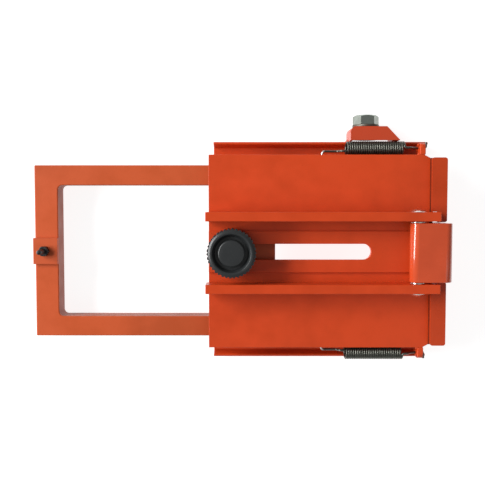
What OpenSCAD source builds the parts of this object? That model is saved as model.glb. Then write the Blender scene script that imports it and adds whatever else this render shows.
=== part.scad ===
// Sliding-hoop latch unit of folded sheet steel, lying on its back.
// +X runs to the latch end, +Y to the side that carries the bolt, +Z away from the mounting face.
// The origin is the middle of the four mounting holes, on the mounting face.

/* [Base] */
// Length of the two side rails
base_length = 230; // [215:1:275]
// Distance between the inner faces of the side rails
base_inner_width = 188; // [180:1:226]
// Height of the side rails
base_height = 38.7; // [36:0.1:50]
// Thickness of the folded sheet
sheet = 3; // [2.4:0.1:3.6]
// Width of the gutter outside each side rail, lip included
gutter_width = 19.4; // [17:0.1:24]
// Height of the lip along the gutter
lip_height = 14; // [10:0.5:17]
// Spacing of the mounting holes along X
hole_pitch_x = 190; // [170:1:196]
// Spacing of the mounting holes along Y
hole_pitch_y = 90; // [60:1:120]
// Diameter of the mounting holes
hole_d = 11; // [6:0.5:14]
// Width of each strap across the back
strap_width = 34; // [24:1:36]

/* [Carriage] */
// Length of the sliding top plate
plate_length = 230; // [220:1:276]
// Width of the sliding top plate
plate_width = 201.6; // [198:0.1:240]
// Travel of the carriage against its springs
carriage_travel = 20; // [10:1:24]
// Width of the long slot
slot_width = 16.5; // [13.5:0.1:20]
// Height of the two guide rails above the plate
guide_rail_height = 25; // [22:0.5:30]
// Width of each guide rail
guide_rail_width = 9.5; // [8:0.1:12]
// Gap between the two guide rails
guide_rail_gap = 64; // [56:0.5:76]
// Width of the raised end flange
flange_width = 15.8; // [13:0.1:19]
// Height of the end flange above the plate
flange_rise = 8; // [6:0.5:10]

/* [Hoop] */
// Overall width of the hoop
hoop_width = 181; // [150:1:184]
// Reach of the hoop beyond the left end of the side rails
hoop_reach = 188.3; // [160:0.1:230]
// Width of the arms' tube
arm_width = 21; // [17:0.5:25]
// Width of the end bar's tube
end_bar_width = 24.6; // [20:0.1:29]
// Depth of the hoop's tube
tube_depth = 25; // [22:0.5:26]
// Wall of the hoop's tube
tube_wall = 2; // [1.5:0.1:3]
// Travel of the hoop along the slot
hoop_travel = 130; // [80:1:130]

/* [Knob] */
// Diameter of the clamping knob
knob_d = 50; // [40:1:58]
// Height of the clamping knob
knob_height = 27; // [22:0.5:32]
// Diameter of the knob's raised middle
knob_cap_d = 26; // [22:1:30]
// Number of grooves around the knob
knob_grooves = 38; // [24:1:44]
// Diameter of the clamping stud
stud_d = 12; // [10:0.5:13]

/* [Latch] */
// Distance from the latch's pin to its outer face
latch_reach = 35; // [28:0.5:36]
// Thickness of the latch's bent plate
latch_t = 5; // [4:0.1:5.5]
// Diameter of the latch's pin
latch_pin_d = 10; // [8:0.1:11]
// Drop of the latch's outer wall below its top
latch_drop = 44; // [36:1:50]

/* [Springs] */
// Outer diameter of each extension spring
spring_d = 14.5; // [12:0.1:15.5]
// Diameter of the spring wire
wire_d = 2.4; // [2:0.1:2.8]
// Number of turns in each spring
spring_turns = 26; // [20:1:28]

/* [Side bolt] */
// Thread diameter of the side bolt
bolt_d = 16; // [12:1:18]
// Width across the flats of the bolt's head
bolt_af = 24; // [19:0.5:26]
// Height of the bolt's head
bolt_head = 10; // [8:0.5:12]
// Distance that the boss stands out from the gutter's lip
boss_out = 14.4; // [13.8:0.1:20]

/* [Hidden] */
fine = 64;
face_gap = 0.3;
slide_gap = 0.15;
run_gap = 0.08;
hole_gap = 0.5;

// Heights
plate_z = base_height + face_gap;
plate_top = plate_z + sheet;
bar_top = plate_top + sheet;
rail_top = plate_top + guide_rail_height;
tube_z = 5;
tube_top = tube_z + tube_depth;
flange_under = base_height - sheet;

// Places along X
base_x0 = -115.7;
base_x1 = base_x0 + base_length;
strap_x = hole_pitch_x / 2;
plate_x0 = base_x0 - 4;
plate_x1 = plate_x0 + plate_length;
rail_x1 = plate_x1 + 5.7;
knob_x = plate_x0 + 24;
hoop_x0 = base_x0 - hoop_reach;
arm_x1 = knob_x + 51;
saddle_x0 = knob_x - 16;
saddle_x1 = knob_x + 45.4;
block_length = 24;
slot_x0 = knob_x - block_length / 2 - 1;
slot_x1 = knob_x + hoop_travel + block_length / 2 + 3;

// Places along Y
wall_in = base_inner_width / 2;
wall_out = wall_in + sheet;
lip_y = wall_out + gutter_width;
flange_in = wall_in - 18;
arm_out = hoop_width / 2;
arm_in = arm_out - arm_width;
rail_in = guide_rail_gap / 2;
rail_out = rail_in + guide_rail_width;

// Guide studs that hold the carriage on the side rails
guide_stud_d = 8;
guide_stud_y = wall_in - 9;
guide_stud_xs = [-70, 62];
guide_washer_d = 17;
guide_washer_t = 1.4;
guide_nut_af = 13;
guide_nut_t = 3;

// Springs
spring_r = spring_d / 2;
coil_pitch = wire_d * 0.97;
spring_y = wall_out + 11.2;
spring_z = plate_z - spring_r - 0.75;
hook_x = -1;
coil_x0 = hook_x + 25;
coil_x1 = coil_x0 + spring_turns * coil_pitch;
lug_t = 6;
lug_x = coil_x1 + 14.9;
lug_end_y = spring_y + 4.6;
spring_end_x = lug_x + lug_t + 6.5;

// Latch
latch_x = plate_x1 - 16.1;
latch_z = rail_top - 9;
knuckle_r = 8;
latch_half = rail_in - 1.8;
pin_head_r = 9.6;
pin_head_h = 3.6;
spacer_t = 1.5;

// Side bolt
boss_x0 = 28.7;
boss_x1 = 80.5;
boss_flat_x = 66.7;
boss_height = 34;
boss_bend = 6;
bolt_x = 46.8;
bolt_z = boss_height / 2 + 0.5;
bolt_washer_t = 2.8;
boss_nut_t = 10;

// Stud on the hoop's end
end_stud_d = 6;
end_stud_x = hoop_x0 + 10.7;
end_stud_out = 22;
end_nut_af = 10;
end_nut_t = 5;
pad_half = 13.7;
pad_t = 4;
corner_r = 5;
shank_d = end_stud_d - 0.8;

orange = "#cf4a28";
dark_steel = "#34383a";
bright_steel = "#b9bcc0";
black = "#1c1d1f";
nylon = "#e6e4dc";
brass = "#b89b52";

// ---------- shapes that repeat ----------

// A box given by its lowest and highest corner
module span_box(low, high) {
    translate(low) cube(high - low);
}

// A profile drawn in Y and Z, drawn out along X
module along_x(x0, x1) {
    translate([x0, 0, 0]) rotate([90, 0, 90]) linear_extrude(x1 - x0) children();
}

// A profile drawn in X and Z, drawn out along Y over both sides of the middle
module across_y(half) {
    translate([0, half, 0]) rotate([90, 0, 0]) linear_extrude(2 * half) children();
}

// A bar with round ends between two points on a line along X
module round_slot(x0, x1, width) {
    translate([x0 + width / 2, -width / 2]) square([x1 - x0 - width, width]);
    translate([x0 + width / 2, 0]) circle(d = width, $fn = fine);
    translate([x1 - width / 2, 0]) circle(d = width, $fn = fine);
}

// A flat plate with four round corners
module round_rect(x0, y0, x1, y1, r) {
    translate([x0 + r, y0]) square([x1 - x0 - 2 * r, y1 - y0]);
    translate([x0, y0 + r]) square([x1 - x0, y1 - y0 - 2 * r]);
    for (x = [x0 + r, x1 - r], y = [y0 + r, y1 - r])
        translate([x, y]) circle(r = r, $fn = fine);
}

module hexagon(af) {
    circle(d = af / cos(30), $fn = 6);
}

module on_side(side) {
    if (side > 0) children();
    else mirror([0, 1, 0]) children();
}

// ---------- base ----------

module side_rail(side) {
    color(orange) on_side(side) difference() {
        union() {
            along_x(base_x0, base_x1) polygon([
                [wall_in, 0], [lip_y - sheet - 1, 0], [lip_y, lip_height - 1.5], [lip_y - 1.5, lip_height],
                [lip_y - sheet, lip_height - 0.5], [lip_y - 2 * sheet, sheet], [wall_out, sheet],
                [wall_out, base_height], [flange_in, base_height], [flange_in, flange_under],
                [wall_in, flange_under]
            ]);
        }
        translate([0, guide_stud_y, flange_under - 1]) linear_extrude(sheet + 2)
            for (x = guide_stud_xs)
                round_slot(x - guide_stud_d / 2 - hole_gap, x + carriage_travel + guide_stud_d / 2 + hole_gap,
                           guide_stud_d + 2 * hole_gap);
        translate([hook_x, wall_in - 1, spring_z]) rotate([-90, 0, 0])
            cylinder(d = wire_d + 2 * hole_gap, h = sheet + 2, $fn = fine);
    }
}

module strap(side) {
    color(orange) difference() {
        span_box([side * strap_x - strap_width / 2, -wall_in, 0], [side * strap_x + strap_width / 2, wall_in, sheet]);
        for (y = [-1, 1])
            translate([side * strap_x, y * hole_pitch_y / 2, -1])
                cylinder(d = hole_d, h = sheet + 2, $fn = fine);
    }
}

module glide_pads() {
    color(nylon) for (side = [-1, 1])
        on_side(side)
            span_box([-strap_x - 10, arm_in + 2, sheet], [-strap_x + 10, arm_out - 2, tube_z - slide_gap]);
}

// Outline of the boss seen from above, drawn in by an inset
module boss_outline(inset) {
    bend_x = boss_x0 + boss_bend;
    bend_y = lip_y + boss_out - boss_bend;
    polygon([
        [bend_x, lip_y], [boss_x1 - inset * 1.6, lip_y],
        [boss_flat_x - inset * 0.45, lip_y + boss_out - inset], [bend_x, lip_y + boss_out - inset]
    ]);
    translate([boss_x0 + inset, lip_y]) square([boss_bend - inset, boss_out - boss_bend]);
    intersection() {
        translate([bend_x, bend_y]) circle(r = boss_bend - inset, $fn = fine);
        translate([boss_x0, lip_y]) square([boss_bend + 1, boss_out]);
    }
}

module bolt_boss() {
    boss_z = bolt_z - boss_height / 2;
    color(orange) difference() {
        translate([0, 0, boss_z]) linear_extrude(boss_height) boss_outline(0);
        translate([0, 0, boss_z - 1]) linear_extrude(boss_height - sheet + 1) boss_outline(sheet);
        translate([bolt_x, lip_y + boss_out - sheet - 1, bolt_z]) rotate([-90, 0, 0])
            cylinder(d = bolt_d + 2 * run_gap, h = sheet + 2, $fn = fine);
    }
}

module side_bolt() {
    seat = lip_y + boss_out + bolt_washer_t;
    color(dark_steel) translate([bolt_x, 0, bolt_z]) rotate([-90, 0, 0]) {
        translate([0, 0, lip_y + 1]) cylinder(d = bolt_d, h = seat - lip_y - 1, $fn = fine);
        intersection() {
            translate([0, 0, seat]) linear_extrude(bolt_head) hexagon(bolt_af);
            translate([0, 0, seat]) rotate_extrude($fn = fine) polygon([
                [0, 0], [bolt_af * 0.545, 0], [bolt_af * 0.58, 0.8], [bolt_af * 0.58, bolt_head - 1.8],
                [bolt_af * 0.46, bolt_head], [0, bolt_head]
            ]);
        }
    }
}

module side_bolt_washer() {
    color(bright_steel) translate([bolt_x, lip_y + boss_out, bolt_z]) rotate([-90, 0, 0]) difference() {
        cylinder(d = bolt_af + 4, h = bolt_washer_t, $fn = fine);
        translate([0, 0, -1]) cylinder(d = bolt_d + 2 * run_gap, h = bolt_washer_t + 2, $fn = fine);
    }
}

module boss_nut() {
    color(dark_steel) translate([bolt_x, lip_y + boss_out - sheet - boss_nut_t, bolt_z]) rotate([-90, 0, 0])
        difference() {
            linear_extrude(boss_nut_t) rotate(30) hexagon(bolt_af);
            translate([0, 0, -1]) cylinder(d = bolt_d + 2 * run_gap, h = boss_nut_t + 2, $fn = fine);
        }
}

// ---------- carriage ----------

module top_plate() {
    half = plate_width / 2;
    color(orange) translate([0, 0, plate_z]) linear_extrude(sheet) difference() {
        polygon([
            [plate_x0, -half], [plate_x1 - 6.5, -half], [plate_x1, -half + 3.4], [plate_x1, half - 3.4],
            [plate_x1 - 6.5, half], [plate_x0, half]
        ]);
        round_slot(slot_x0, slot_x1, slot_width);
    }
}

module slot_bar() {
    color(orange) translate([0, 0, plate_top]) linear_extrude(sheet) difference() {
        translate([plate_x0, -21.5]) square([plate_length - 6, 43]);
        round_slot(slot_x0, slot_x1, slot_width);
    }
}

module guide_rail(side) {
    color(orange) on_side(side) difference() {
        span_box([plate_x0 - 2.5, rail_in, plate_top], [rail_x1, rail_out, rail_top]);
        translate([latch_x, rail_in - 1, latch_z]) rotate([-90, 0, 0])
            cylinder(d = latch_pin_d + 2 * run_gap, h = guide_rail_width + 2, $fn = fine);
    }
}

module end_flange() {
    x0 = plate_x1;
    x1 = plate_x1 + flange_width;
    top = plate_top + flange_rise;
    half = plate_width / 2 - 3.4;
    inner = latch_half + 0.8;
    color(orange) {
        span_box([x0, -half, plate_z], [x0 + sheet, half, plate_top]);
        for (side = [-1, 1]) on_side(side) difference() {
            translate([0, 0, plate_z - sheet]) linear_extrude(top - plate_z + sheet)
                round_rect(x0, inner, x1, half, 2.5);
            span_box([x0 + sheet, inner - 1, plate_z - sheet - 1], [x1 - sheet, half - sheet, top - sheet]);
            span_box([x0 - 1, inner - 1, plate_z - sheet - 1], [x1 - sheet, half + 1, plate_z]);
            span_box([x0 - 1, inner - 1, plate_top], [rail_x1 + face_gap, rail_out + face_gap, top + 1]);
        }
    }
}

module spring_lug(side) {
    color(orange) on_side(side) difference() {
        along_x(lug_x, lug_x + lug_t) {
            translate([wall_out + face_gap, spring_z - 7])
                square([plate_width / 2 - wall_out - face_gap, plate_z - spring_z + 7]);
            translate([plate_width / 2, spring_z - 7])
                square([lug_end_y - 5 - plate_width / 2, plate_top - spring_z + 7]);
            translate([lug_end_y - 5, spring_z - 2]) square([5, plate_top - spring_z - 3]);
            translate([lug_end_y - 5, spring_z - 2]) circle(r = 5, $fn = fine);
            translate([lug_end_y - 5, plate_top - 5]) circle(r = 5, $fn = fine);
        }
        translate([lug_x - 1, spring_y, spring_z]) rotate([0, 90, 0])
            cylinder(d = wire_d + 2 * hole_gap, h = lug_t + 2, $fn = fine);
    }
}

module guide_studs() {
    bottom = flange_under - slide_gap - guide_washer_t - guide_nut_t - 0.2;
    color(bright_steel) for (x = guide_stud_xs, y = [-1, 1])
        translate([x, y * guide_stud_y, bottom]) cylinder(d = guide_stud_d, h = plate_z - bottom, $fn = fine);
}

module guide_washers() {
    color(bright_steel) for (x = guide_stud_xs, y = [-1, 1])
        translate([x, y * guide_stud_y, flange_under - slide_gap - guide_washer_t]) difference() {
            cylinder(d = guide_washer_d, h = guide_washer_t, $fn = fine);
            translate([0, 0, -1]) cylinder(d = guide_stud_d + 2 * run_gap, h = guide_washer_t + 2, $fn = fine);
        }
}

module guide_nuts() {
    color(bright_steel) for (x = guide_stud_xs, y = [-1, 1])
        translate([x, y * guide_stud_y, flange_under - slide_gap - guide_washer_t - guide_nut_t]) difference() {
            linear_extrude(guide_nut_t) hexagon(guide_nut_af);
            translate([0, 0, -1]) cylinder(d = guide_stud_d + 2 * run_gap, h = guide_nut_t + 2, $fn = fine);
        }
}

module latch_pin() {
    dome_r = (pin_head_r * pin_head_r + pin_head_h * pin_head_h) / (2 * pin_head_h);
    color(bright_steel) translate([latch_x, 0, latch_z]) {
        rotate([90, 0, 0]) cylinder(d = latch_pin_d, h = 2 * rail_out, center = true, $fn = fine);
        for (side = [-1, 1]) on_side(side) intersection() {
            translate([0, rail_out - dome_r + pin_head_h, 0]) sphere(r = dome_r, $fn = fine);
            translate([0, rail_out, 0]) rotate([-90, 0, 0]) cylinder(r = pin_head_r, h = pin_head_h, $fn = fine);
        }
    }
}

module latch_spacers() {
    color(bright_steel) for (side = [-1, 1]) on_side(side)
        translate([latch_x, latch_half + (rail_in - latch_half - spacer_t) / 2, latch_z]) rotate([-90, 0, 0])
            difference() {
                cylinder(r = knuckle_r - 0.5, h = spacer_t, $fn = fine);
                translate([0, 0, -1]) cylinder(d = latch_pin_d + 2 * run_gap, h = spacer_t + 2, $fn = fine);
            }
}

// ---------- latch ----------

module latch_hook() {
    top = latch_z + knuckle_r;
    outer = latch_x + latch_reach;
    color(orange) across_y(latch_half) difference() {
        union() {
            translate([latch_x, latch_z]) circle(r = knuckle_r, $fn = fine);
            translate([latch_x, top - latch_t]) square([latch_reach - 8, latch_t]);
            intersection() {
                translate([outer - 8, top - 8]) difference() {
                    circle(r = 8, $fn = fine);
                    circle(r = 8 - latch_t, $fn = fine);
                }
                translate([outer - 8, top - 8]) square(8);
            }
            translate([outer - latch_t, top - latch_drop]) square([latch_t, latch_drop - 8]);
            translate([outer - latch_t - 7, top - latch_drop]) square([8, latch_t]);
        }
        translate([latch_x, latch_z]) circle(d = latch_pin_d + 2 * run_gap, $fn = fine);
    }
}

// ---------- springs ----------

// One straight piece of wire with round ends
module wire(from, to) {
    run = to - from;
    length = norm(run);
    translate(from) rotate([0, acos(run[2] / length), atan2(run[1], run[0])])
        cylinder(d = wire_d, h = length, $fn = 32);
    translate(to) sphere(d = wire_d, $fn = 32);
}

module spring(side) {
    turn_r = spring_r - wire_d / 2;
    color(dark_steel) on_side(side) translate([0, spring_y, spring_z]) {
        translate([coil_x0, 0, 0]) rotate([0, 90, 0]) rotate_extrude($fn = fine)
            for (i = [0 : spring_turns])
                translate([turn_r, i * coil_pitch]) circle(d = wire_d, $fn = 24);
        wire([coil_x0, 0, turn_r], [coil_x0 - 4, 0, 0]);
        wire([coil_x0 - 4, 0, 0], [hook_x, 0, 0]);
        wire([hook_x, 0, 0], [hook_x, wall_in - 2 - spring_y, 0]);
        wire([coil_x1, 0, turn_r], [coil_x1 + 4, 0, 0]);
        wire([coil_x1 + 4, 0, 0], [spring_end_x, 0, 0]);
        wire([lug_x + lug_t + wire_d / 2 + 0.2, 0, 0], [lug_x + lug_t + wire_d / 2 + 0.2, -5, 0]);
    }
}

// ---------- hoop ----------

module hoop_arm(side) {
    color(orange) on_side(side) difference() {
        translate([0, 0, tube_z]) linear_extrude(tube_depth) polygon([
            [hoop_x0, arm_out], [arm_x1, arm_out], [arm_x1, arm_in], [hoop_x0 + end_bar_width, arm_in]
        ]);
        translate([0, 0, tube_z + tube_wall]) linear_extrude(tube_depth - 2 * tube_wall) polygon([
            [hoop_x0 - 1 + tube_wall, arm_out - tube_wall], [arm_x1 + 1, arm_out - tube_wall],
            [arm_x1 + 1, arm_in + tube_wall], [hoop_x0 + end_bar_width - tube_wall, arm_in + tube_wall]
        ]);
    }
}

module hoop_end_bar() {
    inner = hoop_x0 + end_bar_width;
    w = tube_wall;
    color(orange) difference() {
        translate([0, 0, tube_z]) linear_extrude(tube_depth) polygon([
            [hoop_x0, -arm_out], [inner, -arm_in], [inner, arm_in], [hoop_x0, arm_out]
        ]);
        translate([0, 0, tube_z + w]) linear_extrude(tube_depth - 2 * w) polygon([
            [hoop_x0 + w, -arm_out], [inner - w, -arm_in - 1], [inner - w, arm_in + 1], [hoop_x0 + w, arm_out]
        ]);
        translate([end_stud_x, 0, tube_top - w - 1]) cylinder(d = shank_d + 2 * run_gap, h = w + 2, $fn = fine);
    }
    color(orange) for (side = [-1, 1]) on_side(side)
        translate([inner, arm_in - corner_r, tube_z]) linear_extrude(tube_depth) difference() {
            square(corner_r);
            translate([corner_r, 0]) circle(r = corner_r, $fn = fine);
        }
}

module hoop_saddle() {
    top = base_height;
    color(orange) difference() {
        union() {
            span_box([saddle_x0, -arm_in, top - sheet], [saddle_x1, arm_in, top]);
            for (side = [-1, 1]) on_side(side)
                span_box([saddle_x0, arm_in - sheet, tube_z + 3], [saddle_x1, arm_in, top]);
        }
        translate([knob_x, 0, top - sheet - 1]) cylinder(d = stud_d + 2 * run_gap, h = sheet + 2, $fn = fine);
    }
}

module slide_block() {
    color(bright_steel) translate([0, 0, base_height]) difference() {
        linear_extrude(bar_top - base_height - slide_gap)
            round_slot(knob_x - block_length / 2, knob_x + block_length / 2, slot_width - 2 * slide_gap);
        translate([knob_x, 0, -1]) cylinder(d = stud_d + 2 * run_gap, h = 10, $fn = fine);
    }
}

module clamp_stud() {
    head_t = 4;
    under = base_height - sheet - head_t;
    color(bright_steel) translate([knob_x, 0, under]) {
        cylinder(d = stud_d + 8, h = head_t, $fn = fine);
        cylinder(d = stud_d, h = bar_top + knob_height - 5 - under, $fn = fine);
    }
}

module pad_block() {
    color(orange) difference() {
        union() {
            span_box([hoop_x0 - 1.2, -pad_half, tube_top], [hoop_x0 + end_bar_width, pad_half, tube_top + pad_t]);
            span_box([hoop_x0 - 1.2, -pad_half, tube_z + 5], [hoop_x0, pad_half, tube_top]);
        }
        translate([end_stud_x, 0, tube_top - 1]) cylinder(d = shank_d + 2 * run_gap, h = pad_t + 2, $fn = fine);
    }
}

module end_stud() {
    head_t = 4;
    under = tube_top - tube_wall - head_t;
    color(dark_steel) translate([end_stud_x, 0, under]) {
        cylinder(d = end_stud_d + 6, h = head_t, $fn = fine);
        cylinder(d = shank_d, h = tube_top + pad_t + end_nut_t - under, $fn = fine);
        translate([0, 0, tube_top + pad_t + end_nut_t - under])
            cylinder(d = end_stud_d, h = end_stud_out - end_nut_t - 1, $fn = fine);
        translate([0, 0, tube_top + pad_t + end_stud_out - under - 1])
            cylinder(d1 = end_stud_d, d2 = end_stud_d - 2, h = 1, $fn = fine);
    }
}

module end_stud_nut() {
    color(dark_steel) translate([end_stud_x, 0, tube_top + pad_t]) difference() {
        intersection() {
            linear_extrude(end_nut_t) hexagon(end_nut_af);
            rotate_extrude($fn = fine) polygon([
                [0, 0], [end_nut_af * 0.58, 0], [end_nut_af * 0.58, end_nut_t - 1.2],
                [end_nut_af * 0.48, end_nut_t], [0, end_nut_t]
            ]);
        }
        translate([0, 0, -1]) cylinder(d = shank_d + 2 * run_gap, h = end_nut_t + 2, $fn = fine);
    }
}

// ---------- knob ----------

washer_t = 2.5;
knob_z = bar_top + washer_t;
insert_d = stud_d + 7;

module clamp_washer() {
    color(bright_steel) translate([knob_x, 0, bar_top]) difference() {
        cylinder(d = 36, h = washer_t, $fn = fine);
        translate([0, 0, -1]) cylinder(d = stud_d + 2 * run_gap, h = washer_t + 2, $fn = fine);
    }
}

module knob_body() {
    r = knob_d / 2;
    rim = r - 5.5;
    cap_r = knob_cap_d / 2;
    color(black) translate([knob_x, 0, knob_z]) difference() {
        rotate_extrude($fn = 2 * fine) polygon([
            [insert_d / 2, 0], [r - 1.2, 0], [r, 1.2], [r, knob_height - 4.5], [r - 0.5, knob_height - 3],
            [r - 1.6, knob_height - 2], [rim, knob_height - 2], [rim - 2, knob_height - 6],
            [cap_r + 0.5, knob_height - 6], [cap_r, knob_height - 2], [insert_d / 2, knob_height - 2]
        ]);
        for (i = [0 : knob_grooves - 1])
            rotate(i * 360 / knob_grooves) translate([r + 0.5, 0, -1])
                cylinder(r = 1.5, h = knob_height + 2, $fn = 24);
    }
}

module knob_cap() {
    r = knob_cap_d / 2;
    color(black) translate([knob_x, 0, knob_z + knob_height - 2]) rotate_extrude($fn = fine)
        polygon([[0, 0], [r, 0], [r, 0.8], [r - 0.5, 1.6], [r - 1.6, 2], [0, 2.2]]);
}

module knob_insert() {
    color(brass) translate([knob_x, 0, knob_z]) difference() {
        cylinder(d = insert_d, h = knob_height - 2, $fn = fine);
        translate([0, 0, -1]) cylinder(d = stud_d + 2 * run_gap, h = knob_height - 3, $fn = fine);
    }
}

side_rail(1);  // upper_side_rail
side_rail(-1);  // lower_side_rail
strap(-1);  // left_strap
strap(1);  // right_strap
glide_pads();
bolt_boss();
side_bolt();
side_bolt_washer();
boss_nut();
top_plate();
slot_bar();
guide_rail(1);  // upper_guide_rail
guide_rail(-1);  // lower_guide_rail
end_flange();
spring_lug(1);  // upper_spring_lug
spring_lug(-1);  // lower_spring_lug
guide_studs();
guide_washers();
guide_nuts();
latch_pin();
latch_spacers();
latch_hook();
spring(1);  // upper_spring
spring(-1);  // lower_spring
hoop_arm(1);  // hoop_upper_arm
hoop_arm(-1);  // hoop_lower_arm
hoop_end_bar();
hoop_saddle();
slide_block();
clamp_stud();
pad_block();
end_stud();
end_stud_nut();
clamp_washer();
knob_body();
knob_cap();
knob_insert();
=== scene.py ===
"""A sliding-hoop latch unit of orange coated sheet steel, lying on its back."""

import math

import bpy
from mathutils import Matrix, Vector


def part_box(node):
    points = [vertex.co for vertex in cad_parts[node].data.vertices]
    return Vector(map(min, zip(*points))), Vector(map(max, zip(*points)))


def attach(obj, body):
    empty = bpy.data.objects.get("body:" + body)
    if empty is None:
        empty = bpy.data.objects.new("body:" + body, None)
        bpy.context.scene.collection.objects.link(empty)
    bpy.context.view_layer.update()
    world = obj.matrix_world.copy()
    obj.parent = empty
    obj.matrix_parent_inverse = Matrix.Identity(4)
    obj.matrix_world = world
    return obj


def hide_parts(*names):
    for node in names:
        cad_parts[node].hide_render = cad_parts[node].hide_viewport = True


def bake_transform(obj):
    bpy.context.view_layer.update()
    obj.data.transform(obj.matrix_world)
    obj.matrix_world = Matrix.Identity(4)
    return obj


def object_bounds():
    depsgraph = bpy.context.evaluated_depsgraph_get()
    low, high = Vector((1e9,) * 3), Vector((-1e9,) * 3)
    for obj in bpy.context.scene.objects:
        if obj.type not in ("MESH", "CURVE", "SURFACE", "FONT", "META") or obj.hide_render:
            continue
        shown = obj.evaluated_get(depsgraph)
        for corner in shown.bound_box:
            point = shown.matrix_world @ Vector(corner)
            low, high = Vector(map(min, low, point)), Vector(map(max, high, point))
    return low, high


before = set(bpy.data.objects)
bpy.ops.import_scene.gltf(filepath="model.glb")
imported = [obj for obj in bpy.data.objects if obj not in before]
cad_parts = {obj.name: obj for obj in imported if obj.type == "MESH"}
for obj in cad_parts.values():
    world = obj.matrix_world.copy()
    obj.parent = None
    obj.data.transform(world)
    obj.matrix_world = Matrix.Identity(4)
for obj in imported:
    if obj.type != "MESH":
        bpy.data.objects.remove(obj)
cad_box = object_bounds()
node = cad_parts
bpy.ops.object.select_all(action="DESELECT")


# The camera hangs over the unit on a long lens, a little above its middle line, and looks almost
# straight down. It is placed from the plate's top face. All sizes are in metres.
plate_low, plate_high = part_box("top_plate")
plate_top = plate_high[2]
camera_height = 0.757
camera_x = -0.0845
camera_y = 0.0506
camera_tilt = math.radians(-3.1)
camera_lens = 54

bpy.ops.object.camera_add(
    location=(camera_x, camera_y, plate_top + camera_height),
    rotation=(camera_tilt, 0, 0),
)
camera = bpy.context.object
camera.data.lens = camera_lens
camera.data.sensor_width = 36
camera.data.clip_start = 0.05
bpy.context.scene.camera = camera


# The base: two folded side rails and two straps across the back, of 3 mm sheet. They are welded,
# and powder coated orange in one go with the boss, the carriage, the latch and the hoop. The coat
# is semi-gloss, with a fine orange peel and a little dust in it.
class Signal:
    """An output of a material's nodes, which can be written in sums."""

    def __init__(self, finish, socket):
        self.finish = finish
        self.socket = socket

    def sum_with(self, operation, first, second):
        values = {0: first, 1: second}
        return self.finish.add("ShaderNodeMath", {"operation": operation}, values)

    def __add__(self, other):
        return self.sum_with("ADD", self, other)

    def __radd__(self, other):
        return self.sum_with("ADD", other, self)

    def __sub__(self, other):
        return self.sum_with("SUBTRACT", self, other)

    def __rsub__(self, other):
        return self.sum_with("SUBTRACT", other, self)

    def __mul__(self, other):
        return self.sum_with("MULTIPLY", self, other)

    def __rmul__(self, other):
        return self.sum_with("MULTIPLY", other, self)


class Finish:
    """One material, with the method that adds any node to it."""

    def __init__(self, name):
        self.material = bpy.data.materials.new(name)
        self.material.use_nodes = True
        self.tree = self.material.node_tree
        self.shader = self.tree.nodes["Principled BSDF"]

    def put(self, socket, value):
        if isinstance(value, Signal):
            self.tree.links.new(value.socket, socket)
        else:
            socket.default_value = value

    def add(self, kind, settings=None, values=None, out=0):
        new = self.tree.nodes.new(kind)
        for name, value in (settings or {}).items():
            setattr(new, name, value)
        for name, value in (values or {}).items():
            self.put(new.inputs[name], value)
        return Signal(self, new.outputs[out])

    def set(self, **values):
        for name, value in values.items():
            self.put(self.shader.inputs[name.replace("_", " ")], value)

    def place(self, stretch=(1, 1, 1)):
        spot = self.add("ShaderNodeTexCoord", out="Object")
        return self.add("ShaderNodeMapping", {}, {"Vector": spot, "Scale": stretch})

    def noise(self, size, detail=3, stretch=(1, 1, 1)):
        values = {"Vector": self.place(stretch), "Scale": 1 / size, "Detail": detail}
        return self.add("ShaderNodeTexNoise", {}, values)

    def across(self, axis):
        """How far along X, Y or Z (0, 1 or 2) a point of the surface is, in metres."""
        return self.add("ShaderNodeSeparateXYZ", {}, {"Vector": self.place()}, out=axis)

    def between(self, signal, low, high, bottom=0.0, top=1.0):
        values = {
            "Value": signal, "From Min": low, "From Max": high, "To Min": bottom, "To Max": top,
        }
        return self.add("ShaderNodeMapRange", {"clamp": True}, values)

    def blend(self, share, first, second):
        values = {0: share, 6: first, 7: second}
        return self.add("ShaderNodeMix", {"data_type": "RGBA"}, values, out=2)

    def bump(self, height, distance, strength=1.0):
        values = {"Height": height, "Distance": distance, "Strength": strength}
        return self.add("ShaderNodeBump", {}, values)


def shade(colour, amount):
    return tuple(min(1, part * amount) for part in colour)


# Painted shade: a dark brown laid over the coat low down on a part, standing in for shade.
painted_shade_colour = (0.045, 0.014, 0.008, 1)
painted_shade_fade = 0.0012


def orange_coat(
    name, colour, gloss=0.38, glaze=0.12, glaze_rough=0.14, peel_depth=0.0001,
    painted_shade=None, painted_shade_end=1.0,
):
    """The painted shade is the height where it is full, the height where it has gone, and its
    strength.

    It stops at its end in X.
    """
    coat = Finish(name)
    cloud = coat.noise(0.02, detail=4)
    broad = coat.noise(0.12, detail=1)
    dust = coat.noise(0.0011, detail=1)
    peel = coat.noise(0.0018, detail=2)
    tone = coat.between(broad * 0.6 + cloud * 0.4, 0.38, 0.62)
    body = coat.blend(tone, (*shade(colour, 0.90), 1), (*shade(colour, 1.08), 1))
    speck = coat.between(dust, 0.70, 0.76, 0, 0.35)
    # Painted shade: darkens the coat in patches below a height, up to an end in X.
    if painted_shade:
        past_end = coat.between(coat.across(0), painted_shade_end, painted_shade_end + painted_shade_fade)
        patchy = coat.between(cloud, 0.2, 0.6, 0.7, 1)
        painted_shade_share = coat.between(coat.across(2), *painted_shade, 0) * (1 - past_end) * patchy
        body = coat.blend(painted_shade_share, body, painted_shade_colour)
    coat.set(
        Base_Color=coat.blend(speck, body, (*shade(colour, 0.62), 1)),
        Roughness=coat.between(cloud, 0.3, 0.7, gloss - 0.05, gloss + 0.07),
        Normal=coat.bump(peel, peel_depth, 0.6),
        Coat_Weight=glaze,
        Coat_Roughness=glaze_rough,
        Specular_IOR_Level=0.28,
    )
    return coat.material


def paint(part, material):
    part.data.materials.clear()
    part.data.materials.append(material)


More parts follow.
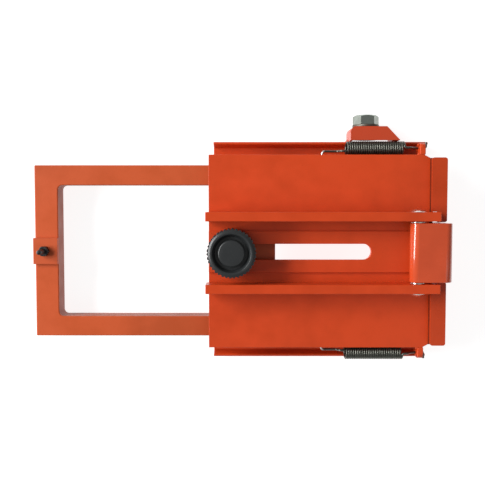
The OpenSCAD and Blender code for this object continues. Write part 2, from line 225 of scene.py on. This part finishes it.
def rounding(part, radius, segments=2, angle=40):
    """Gives a part a bevel on every edge that is sharper than an angle."""
    bevel = part.modifiers.new("rounded edges", "BEVEL")
    bevel.width = radius
    bevel.segments = segments
    bevel.limit_method = "ANGLE"
    bevel.angle_limit = math.radians(angle)
    return bevel


def soften(part, radius):
    """Rounds a ready-made part's sharp edges, as folding and coating leave them."""
    weld = part.modifiers.new("joined faces", "WELD")
    weld.merge_threshold = 0.000002
    rounding(part, radius).harden_normals = True


orange = (0.605, 0.058, 0.0105)
rail_coat = orange_coat("orange coat on the base", shade(orange, 0.95))
for name in ("upper_side_rail", "lower_side_rail", "left_strap", "right_strap"):
    paint(node[name], rail_coat)
    soften(node[name], 0.0006)


# Two glide pads of natural nylon are pressed onto the left strap, and the hoop's arms run on them.
nylon = Finish("natural nylon")
nylon_cloud = nylon.noise(0.006, detail=3)
nylon.set(
    Base_Color=nylon.blend(nylon_cloud, (0.74, 0.71, 0.62, 1), (0.84, 0.82, 0.75, 1)),
    Roughness=nylon.between(nylon_cloud, 0.3, 0.7, 0.42, 0.55),
    Normal=nylon.bump(nylon.noise(0.0007), 0.00003),
)
paint(node["glide_pads"], nylon.material)
soften(node["glide_pads"], 0.0003)


# The bolt's boss is a strip folded round three sides and closed on top, welded to the upper rail's
# lip. A short weld bead runs up each of its feet.
def close_up(smooth, merge=0.0):
    """Joins doubled points, turns the faces outward, and smooths all but the sharp edges."""
    bpy.ops.object.mode_set(mode="EDIT")
    bpy.ops.mesh.select_all(action="SELECT")
    if merge:
        bpy.ops.mesh.remove_doubles(threshold=merge)
    bpy.ops.mesh.normals_make_consistent(inside=False)
    bpy.ops.object.mode_set(mode="OBJECT")
    bpy.ops.object.shade_smooth_by_angle(angle=math.radians(smooth))


def set_in_place():
    bpy.ops.object.transform_apply(location=True, rotation=True, scale=True)


bead_sides = 10
bead_start = 1.9
bead_end = 0.5
bead_ripple = 0.88


def weld_bead(name, place, length, along, size, body, material, steps):
    """A rippled fillet weld: a small disc drawn out step by step, fatter and thinner in turn."""
    step = length / steps
    turn, move = {
        "X": ((0, math.radians(90), 0), (step, 0, 0)),
        "Z": ((0, 0, 0), (0, 0, step)),
    }[along]
    ripple = [bead_ripple if i % 2 else 1 / bead_ripple for i in range(steps)]
    bpy.ops.object.select_all(action="DESELECT")
    bpy.ops.mesh.primitive_circle_add(
        vertices=bead_sides, radius=size / 2, fill_type="NGON", location=place, rotation=turn
    )
    bead = bpy.context.object
    bead.name = name
    bpy.ops.object.mode_set(mode="EDIT")
    bpy.ops.mesh.select_all(action="SELECT")
    for grow in (bead_start, *ripple[1:-1], bead_end):
        bpy.ops.mesh.extrude_region_move(TRANSFORM_OT_translate={"value": move})
        bpy.ops.transform.resize(value=(grow, grow, grow))
    close_up(smooth=70)
    set_in_place()
    paint(bead, material)
    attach(bead, body)


boss_coat = orange_coat("orange coat on the boss", (0.50, 0.058, 0.020), gloss=0.33)
paint(node["bolt_boss"], boss_coat)
soften(node["bolt_boss"], 0.0008)
boss_low, boss_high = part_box("bolt_boss")
left_foot_x = boss_low[0] + 0.0006
right_foot_x = boss_high[0] - 0.0004
foot_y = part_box("upper_side_rail")[1][1] + 0.0004
foot_weld_low = 0.0015
foot_weld_length = 0.0115
foot_weld_size = 0.0022
for name, foot_x in (("boss_left_weld", left_foot_x), ("boss_right_weld", right_foot_x)):
    weld_bead(
        name, (foot_x, foot_y, foot_weld_low),
        foot_weld_length, "Z", foot_weld_size, "base", boss_coat, steps=12,
    )


# The side bolt is a stock hexagon bolt, M16, with a washer and a weld nut: steel with a thin grey
# zinc plating that has gone dull and slightly green.
def plated_steel(name, colour, rough, worn):
    """Plated metal that has worn to a second colour in places."""
    steel = Finish(name)
    cloud = steel.noise(0.005, detail=5)
    grain = steel.noise(0.0009, detail=3)
    scratch = steel.noise(0.0012, detail=2, stretch=(1, 14, 1))
    stain = steel.between(cloud, 0.42, 0.68, 0, 0.5)
    steel.set(
        Base_Color=steel.blend(stain, (*colour, 1), (*worn, 1)),
        Metallic=1.0,
        Roughness=steel.between(cloud * 0.6 + grain * 0.4, 0.35, 0.65, rough - 0.07, rough + 0.12),
        Normal=steel.bump(grain * 0.5 + scratch * 0.5, 0.00003, 0.6),
    )
    return steel.material


bolt_zinc = plated_steel("dull zinc", (0.36, 0.40, 0.36), 0.36, worn=(0.20, 0.22, 0.19))
for name in ("side_bolt", "boss_nut"):
    paint(node[name], bolt_zinc)
    soften(node[name], 0.0005)
washer_zinc = plated_steel("stained washer", (0.15, 0.15, 0.13), 0.55, worn=(0.16, 0.07, 0.04))
paint(node["side_bolt_washer"], washer_zinc)
soften(node["side_bolt_washer"], 0.0003)


# Four shouldered studs are welded under the plate and run in slots of the side rails' flanges.
# Their washers and nuts are bright zinc.
bright_zinc = plated_steel("bright zinc", (0.66, 0.67, 0.68), 0.26, worn=(0.48, 0.48, 0.46))
for name in ("guide_studs", "guide_washers", "guide_nuts"):
    paint(node[name], bright_zinc)
    soften(node[name], 0.00025)


# The carriage: the top plate with its long slot, a slotted bar welded on it, two guide rails, the
# raised end flange and two spring lugs, all of sheet and bar under the same coat.
plate_coat = orange_coat("orange coat on the plate", orange)
for name in ("top_plate", "slot_bar"):
    paint(node[name], plate_coat)
    soften(node[name], 0.0004)

guide_coat = orange_coat("orange coat on the guides", shade(orange, 1.04), gloss=0.33)
for name in ("upper_guide_rail", "lower_guide_rail", "upper_spring_lug", "lower_spring_lug"):
    paint(node[name], guide_coat)
    soften(node[name], 0.0007)

# The flange's coat is painted darker than the plate's as painted shade, and a painted shade
# darkens the foot of its riser, in the crevice along the plate's edge.
riser_shade_full = plate_top + 0.0045
riser_shade_gone = plate_top + 0.0070
riser_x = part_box("end_flange")[0][0] + 0.0010
flange_coat = orange_coat(
    "orange coat on the flange", shade(orange, 0.86), gloss=0.30,
    painted_shade=(riser_shade_full, riser_shade_gone, 0.85), painted_shade_end=riser_x,
)
paint(node["end_flange"], flange_coat)
soften(node["end_flange"], 0.0009)

lug_weld_length = 0.0030
lug_weld_size = 0.0026
lug_weld_y = plate_high[1] - 0.0006
lug_weld_low = plate_low[2] - 0.0001
for side, name in ((1, "upper"), (-1, "lower")):
    lug_weld_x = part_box(f"{name}_spring_lug")[0][0] - 0.0004
    weld_bead(
        f"{name}_lug_weld", (lug_weld_x, side * lug_weld_y, lug_weld_low),
        lug_weld_length, "Z", lug_weld_size, "carriage", guide_coat, steps=5,
    )


# The latch is bent from 5 mm plate round its pin at one end and over the flange at the other, and
# coated thicker and glossier than the rest. The pin has a domed, bright head outside each rail.
# The latch's base colour is lighter and paler than the plate's orange, a painted sheen standing
# for its gloss.
latch_coat = orange_coat(
    "glossy coat on the latch", (0.620, 0.075, 0.020), gloss=0.22, glaze=0.9,
    glaze_rough=0.05, peel_depth=0.00003,
)
paint(node["latch_hook"], latch_coat)
soften(node["latch_hook"], 0.0012)
pin_steel = plated_steel("polished pin", (0.80, 0.79, 0.76), 0.18, worn=(0.62, 0.60, 0.56))
for name in ("latch_pin", "latch_spacers"):
    paint(node[name], pin_steel)
    soften(node[name], 0.0003)


# The two extension springs are wound from oiled spring wire. At each end a leg drops from the last
# turn in an S. The left leg hooks through a hole in the side rail, with a painted highlight on the
# hook's end, and the right one runs through the lug.
spring_wire = Finish("oiled spring wire")
wire_cloud = spring_wire.noise(0.004, detail=4)
wire_grain = spring_wire.noise(0.0006, detail=2)
wire_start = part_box("upper_spring")[0][0]
# A painted highlight: the wire is coloured pale near the left hook's end.
painted_glint_full = wire_start + 0.0015
painted_glint_gone = wire_start + 0.0042
painted_glint = spring_wire.between(spring_wire.across(0), painted_glint_full, painted_glint_gone, 0.9, 0)
wire_colour = spring_wire.blend(wire_cloud, (0.050, 0.050, 0.042, 1), (0.160, 0.160, 0.137, 1))
spring_wire.set(
    Base_Color=spring_wire.blend(painted_glint, wire_colour, (0.86, 0.85, 0.82, 1)),
    Metallic=0.85,
    Roughness=spring_wire.between(wire_grain, 0.3, 0.7, 0.26, 0.42),
    Normal=spring_wire.bump(wire_grain, 0.00002),
)

spring_width = 0.0145
wire_gauge = 0.0024
coil_turns = 26
coil_radius = (spring_width - wire_gauge) / 2
coil_pitch = wire_gauge * 0.97
steps_a_turn = 28
leave_bend = 0.0022
leg_slope = 60
hook_reach = 0.025
hook_bend = 0.003
hook_tail = 0.009
lug_bend = 0.0022
lug_tail = 0.004
left_turned = math.radians(52)
right_turned = math.radians(-20)


def wire_ring(name, origin, turned):
    """An open ring that starts a wire at the top of the coil's end, then turns about its axis."""
    bpy.ops.object.select_all(action="DESELECT")
    bpy.ops.mesh.primitive_circle_add(
        vertices=12, radius=wire_gauge / 2, fill_type="NOTHING", location=origin
    )
    ring = bpy.context.object
    ring.name = name
    bpy.ops.object.mode_set(mode="EDIT")
    bpy.ops.mesh.select_all(action="SELECT")
    bpy.ops.transform.rotate(value=math.radians(90), orient_axis="X", center_override=origin)
    bpy.ops.transform.translate(value=(0, 0, coil_radius))
    bpy.ops.transform.rotate(value=-turned, orient_axis="X", center_override=origin)
    return ring


def bend(at, heading, towards, radius, angle):
    """Spins the wire's open end towards a side, and gives its new place and heading."""
    heading, towards = Vector(heading), Vector(towards).normalized()
    centre = Vector(at) + towards * radius
    turn = math.radians(angle)
    bpy.ops.mesh.spin(steps=8, angle=-turn, center=centre, axis=heading.cross(towards))
    new_at = Vector(at) + radius * (math.sin(turn) * heading + (1 - math.cos(turn)) * towards)
    return new_at, math.cos(turn) * heading + math.sin(turn) * towards


def run(at, step):
    bpy.ops.mesh.extrude_region_move(TRANSFORM_OT_translate={"value": step})
    return Vector(at) + Vector(step)


def finish_wire(wire):
    bpy.ops.mesh.edge_face_add()
    bpy.ops.object.mode_set(mode="OBJECT")
    paint(wire, spring_wire.material)


def spring_leg(name, axis, turned, way, side, reach):
    """A spring's end: it leaves the last turn, drops to the axis in an S, and runs straight."""
    out, up = math.sin(turned), math.cos(turned)
    across, level = math.sin(math.radians(leg_slope)), math.cos(math.radians(leg_slope))
    at = (axis[0], axis[1] - side * coil_radius * out, axis[2] + coil_radius * up)
    leg = wire_ring(name, axis, side * turned)
    at, heading = bend(at, (0, -way * side * up, -way * out), (way, 0, 0), leave_bend, 90)
    drop = at[2] - axis[2]
    at, heading = bend(at, heading, (0, 0, -1), drop, leg_slope)
    at, _ = bend(at, heading, (way * across, 0, level), drop, leg_slope)
    return leg, run(at, (reach - at[0], 0, 0))


def extension_spring(name, side):
    low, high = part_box(name)
    lug_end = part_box(name.replace("spring", "spring_lug"))[1][0]
    axis_y = side * (max(abs(low[1]), abs(high[1])) - spring_width / 2)
    axis_z = (low[2] + high[2]) / 2
    hook_x = low[0] + wire_gauge / 2
    coil_x = hook_x + hook_reach
    coil_end = coil_x + coil_turns * coil_pitch

    start = (coil_x, axis_y, axis_z)
    coil = wire_ring(f"{name}_wire", start, side * left_turned)
    bpy.ops.object.mode_set(mode="OBJECT")
    screw = coil.modifiers.new("winding", "SCREW")
    screw.axis = "X"
    screw.angle = side * (coil_turns * 2 * math.pi + right_turned - left_turned)
    screw.screw_offset = coil_turns * coil_pitch
    screw.steps = screw.render_steps = coil_turns * steps_a_turn
    bpy.ops.object.modifier_apply(modifier=screw.name)
    paint(coil, spring_wire.material)

    left, at = spring_leg(f"{name}_left_leg", start, left_turned, -1, side, hook_x + hook_bend)
    at, _ = bend(at, (-1, 0, 0), (0, -side, 0), hook_bend, 90)
    run(at, (0, -side * hook_tail, 0))
    finish_wire(left)

    finish = (coil_end, axis_y, axis_z)
    right, at = spring_leg(f"{name}_right_leg", finish, right_turned, 1, side, lug_end + 0.0004)
    at, _ = bend(at, (1, 0, 0), (0, side, 0), lug_bend, 90)
    run(at, (0, side * lug_tail, 0))
    finish_wire(right)

    bpy.ops.object.select_all(action="DESELECT")
    for wire in (left, right, coil):
        wire.select_set(True)
    bpy.context.view_layer.objects.active = coil
    bpy.ops.object.join()
    set_in_place()
    close_up(smooth=60, merge=0.000005)
    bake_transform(coil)
    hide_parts(name)


extension_spring("upper_spring", 1)
extension_spring("lower_spring", -1)


# The hoop is a frame of rectangular steel tube, mitred and welded at its two corners and ground
# flush, so it is cut here from one bar: the window's corners keep the weld's radius, and the arms'
# ends are hollow. Its coat is duller and browner than the plate's.
upper_low, upper_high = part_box("hoop_upper_arm")
lower_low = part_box("hoop_lower_arm")[0]
end_low, end_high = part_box("hoop_end_bar")
inner_y = upper_low[1]
end_bar_width = 0.0246
corner_radius = 0.005
tube_edge = 0.0011
tube_wall = 0.0025
hollow_depth = 0.03
cutter_height = 0.02
cutter_length = 0.05


def block(name, low, high):
    bpy.ops.object.select_all(action="DESELECT")
    bpy.ops.mesh.primitive_cube_add(
        size=1,
        location=[(low[i] + high[i]) / 2 for i in range(3)],
        scale=[high[i] - low[i] for i in range(3)],
    )
    new = bpy.context.object
    new.name = name
    set_in_place()
    return new


def round_edges(part, radius, segments=2, angle=40):
    bpy.ops.object.modifier_apply(modifier=rounding(part, radius, segments, angle).name)


def pick(part, wanted):
    """Goes to edit mode with the vertices that pass a test selected, and nothing else."""
    bpy.ops.object.mode_set(mode="EDIT")
    bpy.ops.mesh.select_mode(type="VERT")
    bpy.ops.mesh.select_all(action="DESELECT")
    bpy.ops.object.mode_set(mode="OBJECT")
    for vertex in part.data.vertices:
        vertex.select = wanted(vertex.co)
    bpy.ops.object.mode_set(mode="EDIT")


window = block(
    "window_cutter",
    (end_low[0] + end_bar_width, -inner_y, end_low[2] - cutter_height),
    (upper_high[0] + cutter_length, inner_y, end_high[2] + cutter_height),
)
round_edges(window, corner_radius, segments=8)
hoop = block("hoop_frame", (end_low[0], lower_low[1], end_low[2]), upper_high)
cut = hoop.modifiers.new("window", "BOOLEAN")
cut.operation = "DIFFERENCE"
cut.object = window
bpy.ops.object.modifier_apply(modifier=cut.name)
bpy.ops.object.select_all(action="DESELECT")
window.select_set(True)
bpy.ops.object.delete()
bpy.context.view_layer.objects.active = hoop
round_edges(hoop, tube_edge, segments=3)
pick(hoop, lambda spot: spot[0] > upper_high[0] - 0.00001)
bpy.ops.mesh.select_mode(type="FACE")
bpy.ops.mesh.inset(thickness=tube_wall, depth=0)
bpy.ops.mesh.extrude_region_move(TRANSFORM_OT_translate={"value": (-hollow_depth, 0, 0)})
close_up(smooth=35, merge=0.000001)
flat = hoop.modifiers.new("flat faces", "WEIGHTED_NORMAL")
flat.keep_sharp = True
bpy.ops.object.modifier_apply(modifier=flat.name)

# Painted shade: the hoop's sides and underside are darkened, fading out just under its top face.
hoop_shade_full = upper_high[2] - 0.0035
hoop_shade_gone = upper_high[2] - 0.0012
hoop_coat = orange_coat(
    "orange coat on the hoop", (0.500, 0.080, 0.020), gloss=0.46, glaze=0.05,
    painted_shade=(hoop_shade_full, hoop_shade_gone, 0.42),
)
pad_coat = orange_coat("orange coat on the pad", (0.480, 0.078, 0.022), gloss=0.44, glaze=0.05)
paint(hoop, hoop_coat)
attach(hoop, "hoop")
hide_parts("hoop_upper_arm", "hoop_lower_arm", "hoop_end_bar")
for name, radius in (("hoop_saddle", 0.0006), ("pad_block", 0.0004)):
    paint(node[name], pad_coat)
    soften(node[name], radius)

saddle_low, saddle_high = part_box("hoop_saddle")
saddle_weld_length = 0.048
saddle_weld_size = 0.0032
saddle_weld_x = saddle_low[0] + 0.006
saddle_weld_y = saddle_high[1] - 0.0002
saddle_weld_z = upper_high[2] + 0.0001
for side, name in ((1, "upper"), (-1, "lower")):
    weld_bead(
        f"{name}_saddle_weld", (saddle_weld_x, side * saddle_weld_y, saddle_weld_z),
        saddle_weld_length, "X", saddle_weld_size, "hoop", pad_coat, steps=30,
    )

for name in ("slide_block", "clamp_stud"):
    paint(node[name], bright_zinc)
    soften(node[name], 0.0003)


# A black-oxide M6 stud stands through the pad, held by a nut with a chamfered top. Its thread is
# turned as one ridge that winds up the stud.
stud_black = plated_steel("black oxide", (0.050, 0.050, 0.052), 0.38, worn=(0.13, 0.12, 0.12))
paint(node["end_stud_nut"], stud_black)
soften(node["end_stud_nut"], 0.0004)

stud_low, stud_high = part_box("end_stud")
stud_x = (stud_low[0] + stud_high[0]) / 2
stud_radius = 0.003
stud_chamfer = 0.0008
thread_pitch = 0.001
thread_depth = 0.0005
thread_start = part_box("end_stud_nut")[0][2] + 0.001
thread_end = stud_high[2] - 0.0012
core_radius = stud_radius - thread_depth * 0.9
core_height = stud_high[2] - stud_low[2]

bpy.ops.object.select_all(action="DESELECT")
bpy.ops.mesh.primitive_plane_add(
    size=thread_pitch, location=(stud_x, 0, thread_start), rotation=(math.radians(90), 0, 0)
)
stud = bpy.context.object
stud.name = "threaded_stud"
bpy.ops.object.mode_set(mode="EDIT")
bpy.ops.mesh.select_all(action="SELECT")
bpy.ops.mesh.merge(type="CENTER")
bpy.ops.transform.translate(value=(stud_radius - thread_depth, 0, -thread_pitch / 2))
for ridge_step in (thread_depth, -thread_depth):
    bpy.ops.mesh.extrude_region_move(
        TRANSFORM_OT_translate={"value": (ridge_step, 0, thread_pitch / 2)}
    )
bpy.ops.object.mode_set(mode="OBJECT")
bpy.ops.object.transform_apply(location=False, rotation=True, scale=True)
winding = stud.modifiers.new("thread", "SCREW")
winding.axis = "Z"
winding.screw_offset = thread_pitch
winding.iterations = round((thread_end - thread_start) / thread_pitch)
winding.steps = winding.render_steps = 24
winding.use_merge_vertices = True
winding.merge_threshold = 0.00001
bpy.ops.object.modifier_apply(modifier=winding.name)
set_in_place()
bpy.ops.object.mode_set(mode="EDIT")
bpy.ops.mesh.select_all(action="SELECT")
bpy.ops.mesh.fill_holes(sides=0)
bpy.ops.object.mode_set(mode="OBJECT")

bpy.ops.object.select_all(action="DESELECT")
bpy.ops.mesh.primitive_cylinder_add(
    vertices=32, radius=core_radius, depth=core_height,
    location=(stud_x, 0, stud_low[2] + core_height / 2),
)
round_edges(bpy.context.object, stud_chamfer)
set_in_place()
stud.select_set(True)
bpy.context.view_layer.objects.active = stud
bpy.ops.object.join()
close_up(smooth=40)
paint(stud, stud_black)
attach(stud, "hoop")
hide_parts("end_stud")


# The knob is moulded in black plastic round a brass insert: a grooved rim to grip, a sunk ring
# inside it, and a raised, slightly crowned cap in the middle. A zinc washer lies under it.
knob_low, knob_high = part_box("knob_body")
cap_low, cap_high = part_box("knob_cap")
knob_x = (cap_low[0] + cap_high[0]) / 2
knob_radius = (knob_high[1] - knob_low[1]) / 2
knob_height = knob_high[2] - knob_low[2]
cap_radius = (cap_high[0] - cap_low[0]) / 2
groove_count = 38
groove_depth = 0.0011
groove_from = 0.5
groove_to = 0.9
moulded_edge = 0.0003

knob_plastic = Finish("black moulded plastic")
knob_cloud = knob_plastic.noise(0.012, detail=3)
knob_grain = knob_plastic.noise(0.0007, detail=2)
knob_dust = knob_plastic.between(knob_plastic.noise(0.0016, detail=4), 0.62, 0.74, 0, 0.35)
knob_plastic.set(
    Base_Color=knob_plastic.blend(knob_dust, (0.023, 0.025, 0.026, 1), (0.068, 0.068, 0.066, 1)),
    Roughness=knob_plastic.between(knob_cloud, 0.3, 0.7, 0.27, 0.38),
    Normal=knob_plastic.bump(knob_grain, 0.00004, 0.7),
)

bpy.ops.object.select_all(action="DESELECT")
bpy.ops.mesh.primitive_cylinder_add(
    vertices=groove_count * 8, radius=knob_radius, depth=knob_height, end_fill_type="NGON",
    location=(0, 0, 0),
)
knob = bpy.context.object
knob.name = "clamp_knob"


def in_groove(spot):
    """Tells whether a point is on the grip's face, within one of the grooves."""
    share_of_groove = (math.atan2(spot[1], spot[0]) / (2 * math.pi) * groove_count) % 1
    on_face = spot[0] ** 2 + spot[1] ** 2 > (knob_radius - 0.0002) ** 2
    return on_face and groove_from < share_of_groove < groove_to


# Each step goes in by its first size and up or down by its second.
rim_steps = (
    (groove_depth + 0.0004, 0),
    (0.0010, 0.0009),
    (0.0016, 0.0005),
    (0.0014, -0.0004),
)
sunk_ring_steps = (
    (0.0008, -0.0018),
    (0.0018, -0.0046),
    (knob_radius - cap_radius - groove_depth - 0.0080, -0.0004),
)
cap_steps = (
    (0.0005, 0.0054),
    (0.0010, 0.0008),
    (cap_radius * 0.3, 0.0002),
    (cap_radius * 0.3, 0.0001),
)
pick(knob, lambda spot: spot[2] > 0)
bpy.ops.mesh.select_mode(type="FACE")
for inward, upward in rim_steps + sunk_ring_steps + cap_steps:
    bpy.ops.mesh.inset(thickness=inward, depth=upward)
pick(knob, in_groove)
narrow = 1 - groove_depth / knob_radius
bpy.ops.transform.resize(value=(narrow, narrow, 1))
bpy.ops.mesh.select_all(action="SELECT")
bpy.ops.transform.translate(value=(knob_x, 0, (knob_low[2] + knob_high[2]) / 2))
bpy.ops.object.mode_set(mode="OBJECT")
round_edges(knob, moulded_edge, angle=32)
bpy.ops.object.shade_smooth_by_angle(angle=math.radians(42))
paint(knob, knob_plastic.material)
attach(knob, "knob")
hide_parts("knob_body", "knob_cap")

brass = plated_steel("turned brass", (0.62, 0.46, 0.16), 0.30, worn=(0.45, 0.32, 0.11))
paint(node["knob_insert"], brass)
paint(node["clamp_washer"], bright_zinc)
soften(node["clamp_washer"], 0.0003)


# The floor under the unit is a light table: a plain pale sheet that gives off even white light of
# its own. The light is a strong soft box low on the left, with a weak one across from it and an
# even white room round both.
floor_size = 60
floor_glow = 0.86
room_glow = 0.25
floor_white = Finish("pale floor")
floor_white.set(
    Base_Color=(0.38, 0.38, 0.38, 1), Roughness=0.95, Specular_IOR_Level=0.1,
    Emission_Color=(1, 1, 1, 1), Emission_Strength=floor_glow,
)
bpy.ops.object.select_all(action="DESELECT")
bpy.ops.mesh.primitive_plane_add(size=floor_size, location=(0, 0, cad_box[0][2] - 0.0002))
floor = bpy.context.object
floor.name = "floor"
paint(floor, floor_white.material)


def soft_box(name, place, size, power, aim=(0, 0, 0.03)):
    away = Vector(aim) - Vector(place)
    turn = away.to_track_quat("-Z", "Y").to_euler()
    bpy.ops.object.light_add(type="AREA", location=place, rotation=turn)
    box = bpy.context.object
    box.name = name
    box.data.shape = "RECTANGLE"
    box.data.size, box.data.size_y = size
    box.data.energy = power


soft_box("left soft box", (-1.90, 0.45, 1.15), (2.0, 0.65), 77, aim=(0, 0, 0.04))
soft_box("right soft box", (0.9, -0.7, 1.4), (1.0, 1.0), 2)
world = bpy.data.worlds.new("white room")
world.use_nodes = True
room = world.node_tree.nodes["Background"].inputs
room["Color"].default_value = (1, 1, 1, 1)
room["Strength"].default_value = room_glow
bpy.context.scene.world = world
bpy.context.scene.view_settings.view_transform = "Standard"
